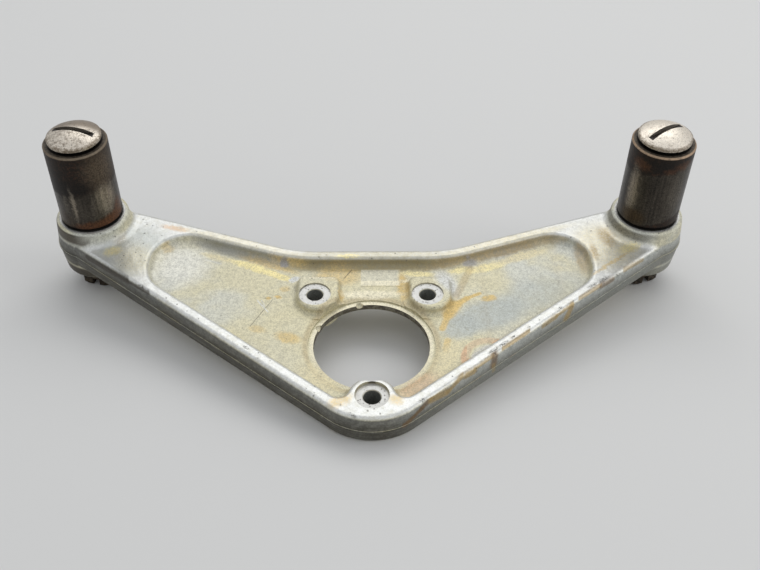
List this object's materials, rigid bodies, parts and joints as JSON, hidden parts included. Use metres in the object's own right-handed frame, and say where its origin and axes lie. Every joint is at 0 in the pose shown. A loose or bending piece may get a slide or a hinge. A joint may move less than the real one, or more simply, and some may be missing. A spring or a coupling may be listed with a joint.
{
  "type": "nose gear steering arm",
  "caption": "Flat V-shaped forged steering arm with a round bearing bore and bolt holes at its middle, and an upright steel roller turning on a slotted bolt at each tip.",
  "frame": {"origin": "centre of the bearing bore, on the parting plane of the forging", "axes": "+Z along the bore, up through the rollers; +Y from the bore towards the two tips; left is -X and right is +X"},
  "size_m": [0.2672, 0.1246, 0.0759],
  "materials": {
    "forged_alloy": "forged, gold-tinted chromate film, worn bright on its crests",
    "roller_steel": "dark, rusted and rubbed",
    "bolt_steel": "worn plating",
    "washer_steel": "dull plating",
    "nut_steel": "dull plating, browned",
    "pin_steel": "bright wire"
  },
  "bodies": {
    "arm": {"steering_arm": "forged_alloy", "left_roller_bolt": "bolt_steel", "left_thrust_washer": "washer_steel", "left_nut_washer": "washer_steel", "left_castle_nut": "nut_steel", "left_cotter_pin": "pin_steel", "right_roller_bolt": "bolt_steel", "right_thrust_washer": "washer_steel", "right_nut_washer": "washer_steel", "right_castle_nut": "nut_steel", "right_cotter_pin": "pin_steel"},
    "left_roller_body": {"left_roller": "roller_steel"},
    "right_roller_body": {"right_roller": "roller_steel"}
  },
  "joints": [
    {"name": "left_roller_spin", "type": "hinge", "parent": "arm", "child": "left_roller_body", "pos_m": [-0.1173, 0.0673, 0.03075], "axis": [0, 0, 1], "continuous": true},
    {"name": "right_roller_spin", "type": "hinge", "parent": "arm", "child": "right_roller_body", "pos_m": [0.1173, 0.0673, 0.03075], "axis": [0, 0, 1], "continuous": true}
  ]
}
